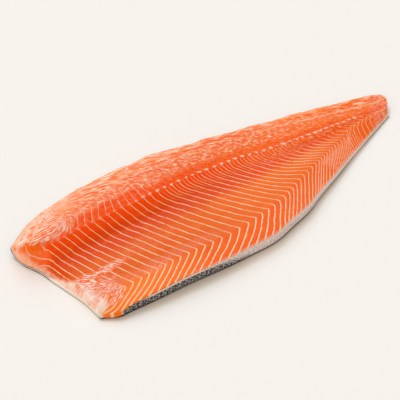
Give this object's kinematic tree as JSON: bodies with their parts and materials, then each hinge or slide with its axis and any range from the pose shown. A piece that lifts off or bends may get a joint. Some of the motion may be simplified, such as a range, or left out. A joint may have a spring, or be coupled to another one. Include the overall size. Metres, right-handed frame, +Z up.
{
  "type": "raw salmon fillet",
  "caption": "Whole raw side of salmon, boned and lying skin down: orange flesh with herringbone lines of pale fat over a thin silver and dark skin.",
  "frame": {"origin": "middle of the footprint, on the surface that the fillet lies on", "axes": "+X from the head cut towards the tail, +Y towards the fish's back, +Z up out of the cut flesh"},
  "size_m": [0.635, 0.2336, 0.038],
  "materials": {
    "flesh": "moist raw salmon flesh, orange with pale lines of fat",
    "skin": "moist scaly fish skin, dark along the back and silver towards the belly"
  },
  "bodies": {
    "root": {"flesh": "flesh", "skin": "skin"}
  },
  "joints": []
}
